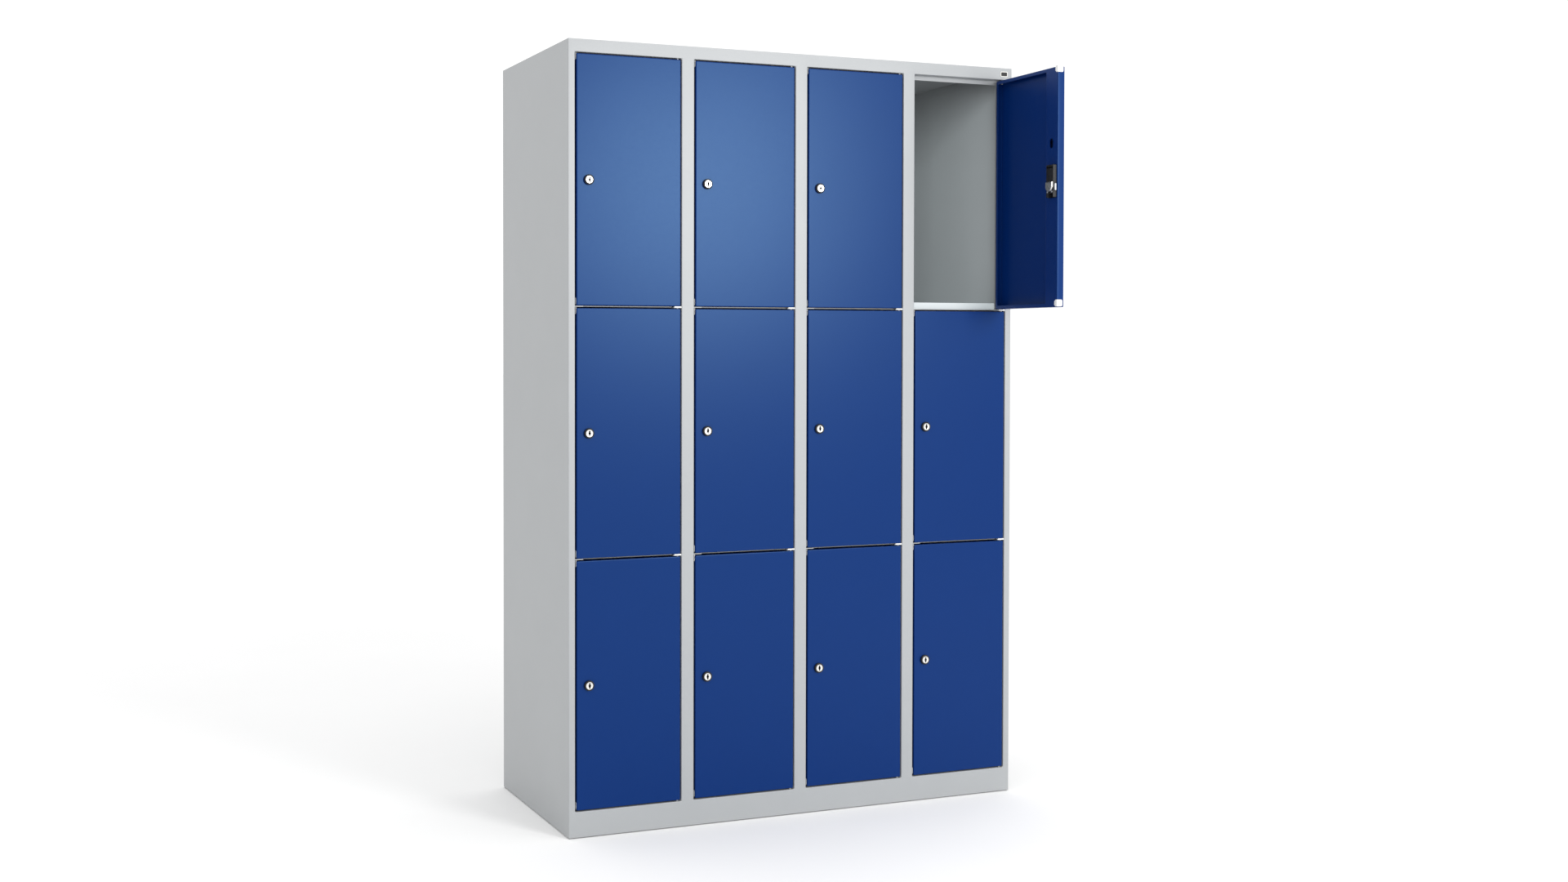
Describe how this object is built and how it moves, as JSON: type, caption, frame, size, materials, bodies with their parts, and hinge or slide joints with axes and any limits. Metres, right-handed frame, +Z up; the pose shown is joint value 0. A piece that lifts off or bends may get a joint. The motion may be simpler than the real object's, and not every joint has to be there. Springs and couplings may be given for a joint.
{
  "type": "coin operated locker",
  "caption": "Steel locker cabinet with stacked compartments, each behind a blue hinged door with a coin deposit lock, key plug and sliding bolt, in a light grey welded carcass.",
  "frame": {"origin": "On the floor, under the centre of the bounding box, which takes in the open upper right door.", "axes": "+Z up, +X to the right seen from the front, +Y from the front to the back."},
  "size_m": [1.2, 0.75, 1.85],
  "materials": {
    "light_grey_powder_coat": "satin light grey powder coat with a fine texture",
    "blue_powder_coat": "satin deep blue powder coat with a fine texture",
    "black_lock_plastic": "moulded black plastic, lightly textured",
    "nickel_plated_zinc": "nickel plated, finely turned face",
    "zinc_plated_steel": "bright zinc plate on steel",
    "white_bumper_plastic": "moulded white plastic, satin"
  },
  "bodies": {
    "carcass": {"front_frame": "light_grey_powder_coat", "side_panel_left": "light_grey_powder_coat", "side_panel_right": "light_grey_powder_coat", "top_panel": "light_grey_powder_coat", "rear_panel": "light_grey_powder_coat", "floor_panel": "light_grey_powder_coat", "base_frame": "zinc_plated_steel", "partition_1": "light_grey_powder_coat", "partition_2": "light_grey_powder_coat", "partition_3": "light_grey_powder_coat", "shelf_tier_upper": "light_grey_powder_coat", "shelf_tier_lower": "light_grey_powder_coat"},
    "door_r1c1": {"door_r1c1": "blue_powder_coat", "coin_lock_case_r1c1": "black_lock_plastic"},
    "key_plug_r1c1": {"key_plug_r1c1": "nickel_plated_zinc"},
    "lock_bolt_r1c1": {"lock_bolt_r1c1": "zinc_plated_steel"},
    "door_r1c2": {"door_r1c2": "blue_powder_coat", "coin_lock_case_r1c2": "black_lock_plastic"},
    "key_plug_r1c2": {"key_plug_r1c2": "nickel_plated_zinc"},
    "lock_bolt_r1c2": {"lock_bolt_r1c2": "zinc_plated_steel"},
    "door_r1c3": {"door_r1c3": "blue_powder_coat", "coin_lock_case_r1c3": "black_lock_plastic"},
    "key_plug_r1c3": {"key_plug_r1c3": "nickel_plated_zinc"},
    "lock_bolt_r1c3": {"lock_bolt_r1c3": "zinc_plated_steel"},
    "door_r1c4": {"door_r1c4": "blue_powder_coat", "coin_lock_case_r1c4": "black_lock_plastic"},
    "key_plug_r1c4": {"key_plug_r1c4": "nickel_plated_zinc"},
    "lock_bolt_r1c4": {"lock_bolt_r1c4": "zinc_plated_steel"},
    "door_r2c1": {"door_r2c1": "blue_powder_coat", "coin_lock_case_r2c1": "black_lock_plastic"},
    "key_plug_r2c1": {"key_plug_r2c1": "nickel_plated_zinc"},
    "lock_bolt_r2c1": {"lock_bolt_r2c1": "zinc_plated_steel"},
    "door_r2c2": {"door_r2c2": "blue_powder_coat", "coin_lock_case_r2c2": "black_lock_plastic"},
    "key_plug_r2c2": {"key_plug_r2c2": "nickel_plated_zinc"},
    "lock_bolt_r2c2": {"lock_bolt_r2c2": "zinc_plated_steel"},
    "door_r2c3": {"door_r2c3": "blue_powder_coat", "coin_lock_case_r2c3": "black_lock_plastic"},
    "key_plug_r2c3": {"key_plug_r2c3": "nickel_plated_zinc"},
    "lock_bolt_r2c3": {"lock_bolt_r2c3": "zinc_plated_steel"},
    "door_r2c4": {"door_r2c4": "blue_powder_coat", "coin_lock_case_r2c4": "black_lock_plastic"},
    "key_plug_r2c4": {"key_plug_r2c4": "nickel_plated_zinc"},
    "lock_bolt_r2c4": {"lock_bolt_r2c4": "zinc_plated_steel"},
    "door_r3c1": {"door_r3c1": "blue_powder_coat", "coin_lock_case_r3c1": "black_lock_plastic"},
    "key_plug_r3c1": {"key_plug_r3c1": "nickel_plated_zinc"},
    "lock_bolt_r3c1": {"lock_bolt_r3c1": "zinc_plated_steel"},
    "door_r3c2": {"door_r3c2": "blue_powder_coat", "coin_lock_case_r3c2": "black_lock_plastic"},
    "key_plug_r3c2": {"key_plug_r3c2": "nickel_plated_zinc"},
    "lock_bolt_r3c2": {"lock_bolt_r3c2": "zinc_plated_steel"},
    "door_r3c3": {"door_r3c3": "blue_powder_coat", "coin_lock_case_r3c3": "black_lock_plastic"},
    "key_plug_r3c3": {"key_plug_r3c3": "nickel_plated_zinc"},
    "lock_bolt_r3c3": {"lock_bolt_r3c3": "zinc_plated_steel"},
    "door_r3c4": {"door_r3c4": "blue_powder_coat", "coin_lock_case_r3c4": "black_lock_plastic"},
    "key_plug_r3c4": {"key_plug_r3c4": "nickel_plated_zinc"},
    "lock_bolt_r3c4": {"lock_bolt_r3c4": "zinc_plated_steel"}
  },
  "joints": [
    {"name": "door_hinge_r1c1", "type": "hinge", "parent": "carcass", "child": "door_r1c1", "pos_m": [-0.325, -0.119, 1.237], "axis": [0, 0, 1], "range_deg": [0, 105]},
    {"name": "key_turn_r1c1", "type": "hinge", "parent": "door_r1c1", "child": "key_plug_r1c1", "pos_m": [-0.5505, -0.125, 1.527], "axis": [0, 1, 0], "range_deg": [0, 90]},
    {"name": "bolt_slide_r1c1", "type": "slide", "parent": "door_r1c1", "child": "lock_bolt_r1c1", "axis": [-1, 0, 0], "range_m": [0, 0.0095]},
    {"name": "door_hinge_r1c2", "type": "hinge", "parent": "carcass", "child": "door_r1c2", "pos_m": [-0.025, -0.119, 1.237], "axis": [0, 0, 1], "range_deg": [0, 105]},
    {"name": "key_turn_r1c2", "type": "hinge", "parent": "door_r1c2", "child": "key_plug_r1c2", "pos_m": [-0.2505, -0.125, 1.527], "axis": [0, 1, 0], "range_deg": [0, 90]},
    {"name": "bolt_slide_r1c2", "type": "slide", "parent": "door_r1c2", "child": "lock_bolt_r1c2", "axis": [-1, 0, 0], "range_m": [0, 0.0095]},
    {"name": "door_hinge_r1c3", "type": "hinge", "parent": "carcass", "child": "door_r1c3", "pos_m": [0.275, -0.119, 1.237], "axis": [0, 0, 1], "range_deg": [0, 105]},
    {"name": "key_turn_r1c3", "type": "hinge", "parent": "door_r1c3", "child": "key_plug_r1c3", "pos_m": [0.0495, -0.125, 1.527], "axis": [0, 1, 0], "range_deg": [0, 90]},
    {"name": "bolt_slide_r1c3", "type": "slide", "parent": "door_r1c3", "child": "lock_bolt_r1c3", "axis": [-1, 0, 0], "range_m": [0, 0.0095]},
    {"name": "door_hinge_r1c4", "type": "hinge", "parent": "carcass", "child": "door_r1c4", "pos_m": [0.575, -0.119, 1.237], "axis": [0, 0, 1], "range_deg": [-90, 15]},
    {"name": "key_turn_r1c4", "type": "hinge", "parent": "door_r1c4", "child": "key_plug_r1c4", "pos_m": [0.581, -0.3445, 1.527], "axis": [-1, 0, 0], "range_deg": [0, 90]},
    {"name": "bolt_slide_r1c4", "type": "slide", "parent": "door_r1c4", "child": "lock_bolt_r1c4", "axis": [0, -1, 0], "range_m": [0, 0.0095]},
    {"name": "door_hinge_r2c1", "type": "hinge", "parent": "carcass", "child": "door_r2c1", "pos_m": [-0.325, -0.119, 0.651], "axis": [0, 0, 1], "range_deg": [0, 105]},
    {"name": "key_turn_r2c1", "type": "hinge", "parent": "door_r2c1", "child": "key_plug_r2c1", "pos_m": [-0.5505, -0.125, 0.941], "axis": [0, 1, 0], "range_deg": [0, 90]},
    {"name": "bolt_slide_r2c1", "type": "slide", "parent": "door_r2c1", "child": "lock_bolt_r2c1", "axis": [-1, 0, 0], "range_m": [0, 0.0095]},
    {"name": "door_hinge_r2c2", "type": "hinge", "parent": "carcass", "child": "door_r2c2", "pos_m": [-0.025, -0.119, 0.651], "axis": [0, 0, 1], "range_deg": [0, 105]},
    {"name": "key_turn_r2c2", "type": "hinge", "parent": "door_r2c2", "child": "key_plug_r2c2", "pos_m": [-0.2505, -0.125, 0.941], "axis": [0, 1, 0], "range_deg": [0, 90]},
    {"name": "bolt_slide_r2c2", "type": "slide", "parent": "door_r2c2", "child": "lock_bolt_r2c2", "axis": [-1, 0, 0], "range_m": [0, 0.0095]},
    {"name": "door_hinge_r2c3", "type": "hinge", "parent": "carcass", "child": "door_r2c3", "pos_m": [0.275, -0.119, 0.651], "axis": [0, 0, 1], "range_deg": [0, 105]},
    {"name": "key_turn_r2c3", "type": "hinge", "parent": "door_r2c3", "child": "key_plug_r2c3", "pos_m": [0.0495, -0.125, 0.941], "axis": [0, 1, 0], "range_deg": [0, 90]},
    {"name": "bolt_slide_r2c3", "type": "slide", "parent": "door_r2c3", "child": "lock_bolt_r2c3", "axis": [-1, 0, 0], "range_m": [0, 0.0095]},
    {"name": "door_hinge_r2c4", "type": "hinge", "parent": "carcass", "child": "door_r2c4", "pos_m": [0.575, -0.119, 0.651], "axis": [0, 0, 1], "range_deg": [0, 105]},
    {"name": "key_turn_r2c4", "type": "hinge", "parent": "door_r2c4", "child": "key_plug_r2c4", "pos_m": [0.3495, -0.125, 0.941], "axis": [0, 1, 0], "range_deg": [0, 90]},
    {"name": "bolt_slide_r2c4", "type": "slide", "parent": "door_r2c4", "child": "lock_bolt_r2c4", "axis": [-1, 0, 0], "range_m": [0, 0.0095]},
    {"name": "door_hinge_r3c1", "type": "hinge", "parent": "carcass", "child": "door_r3c1", "pos_m": [-0.325, -0.119, 0.065], "axis": [0, 0, 1], "range_deg": [0, 105]},
    {"name": "key_turn_r3c1", "type": "hinge", "parent": "door_r3c1", "child": "key_plug_r3c1", "pos_m": [-0.5505, -0.125, 0.355], "axis": [0, 1, 0], "range_deg": [0, 90]},
    {"name": "bolt_slide_r3c1", "type": "slide", "parent": "door_r3c1", "child": "lock_bolt_r3c1", "axis": [-1, 0, 0], "range_m": [0, 0.0095]},
    {"name": "door_hinge_r3c2", "type": "hinge", "parent": "carcass", "child": "door_r3c2", "pos_m": [-0.025, -0.119, 0.065], "axis": [0, 0, 1], "range_deg": [0, 105]},
    {"name": "key_turn_r3c2", "type": "hinge", "parent": "door_r3c2", "child": "key_plug_r3c2", "pos_m": [-0.2505, -0.125, 0.355], "axis": [0, 1, 0], "range_deg": [0, 90]},
    {"name": "bolt_slide_r3c2", "type": "slide", "parent": "door_r3c2", "child": "lock_bolt_r3c2", "axis": [-1, 0, 0], "range_m": [0, 0.0095]},
    {"name": "door_hinge_r3c3", "type": "hinge", "parent": "carcass", "child": "door_r3c3", "pos_m": [0.275, -0.119, 0.065], "axis": [0, 0, 1], "range_deg": [0, 105]},
    {"name": "key_turn_r3c3", "type": "hinge", "parent": "door_r3c3", "child": "key_plug_r3c3", "pos_m": [0.0495, -0.125, 0.355], "axis": [0, 1, 0], "range_deg": [0, 90]},
    {"name": "bolt_slide_r3c3", "type": "slide", "parent": "door_r3c3", "child": "lock_bolt_r3c3", "axis": [-1, 0, 0], "range_m": [0, 0.0095]},
    {"name": "door_hinge_r3c4", "type": "hinge", "parent": "carcass", "child": "door_r3c4", "pos_m": [0.575, -0.119, 0.065], "axis": [0, 0, 1], "range_deg": [0, 105]},
    {"name": "key_turn_r3c4", "type": "hinge", "parent": "door_r3c4", "child": "key_plug_r3c4", "pos_m": [0.3495, -0.125, 0.355], "axis": [0, 1, 0], "range_deg": [0, 90]},
    {"name": "bolt_slide_r3c4", "type": "slide", "parent": "door_r3c4", "child": "lock_bolt_r3c4", "axis": [-1, 0, 0], "range_m": [0, 0.0095]}
  ],
  "couplings": [
    {"joint": "bolt_slide_r1c1", "follows": "key_turn_r1c1", "m_per_rad": 0.006},
    {"joint": "bolt_slide_r1c2", "follows": "key_turn_r1c2", "m_per_rad": 0.006},
    {"joint": "bolt_slide_r1c3", "follows": "key_turn_r1c3", "m_per_rad": 0.006},
    {"joint": "bolt_slide_r1c4", "follows": "key_turn_r1c4", "m_per_rad": 0.006},
    {"joint": "bolt_slide_r2c1", "follows": "key_turn_r2c1", "m_per_rad": 0.006},
    {"joint": "bolt_slide_r2c2", "follows": "key_turn_r2c2", "m_per_rad": 0.006},
    {"joint": "bolt_slide_r2c3", "follows": "key_turn_r2c3", "m_per_rad": 0.006},
    {"joint": "bolt_slide_r2c4", "follows": "key_turn_r2c4", "m_per_rad": 0.006},
    {"joint": "bolt_slide_r3c1", "follows": "key_turn_r3c1", "m_per_rad": 0.006},
    {"joint": "bolt_slide_r3c2", "follows": "key_turn_r3c2", "m_per_rad": 0.006},
    {"joint": "bolt_slide_r3c3", "follows": "key_turn_r3c3", "m_per_rad": 0.006},
    {"joint": "bolt_slide_r3c4", "follows": "key_turn_r3c4", "m_per_rad": 0.006}
  ]
}
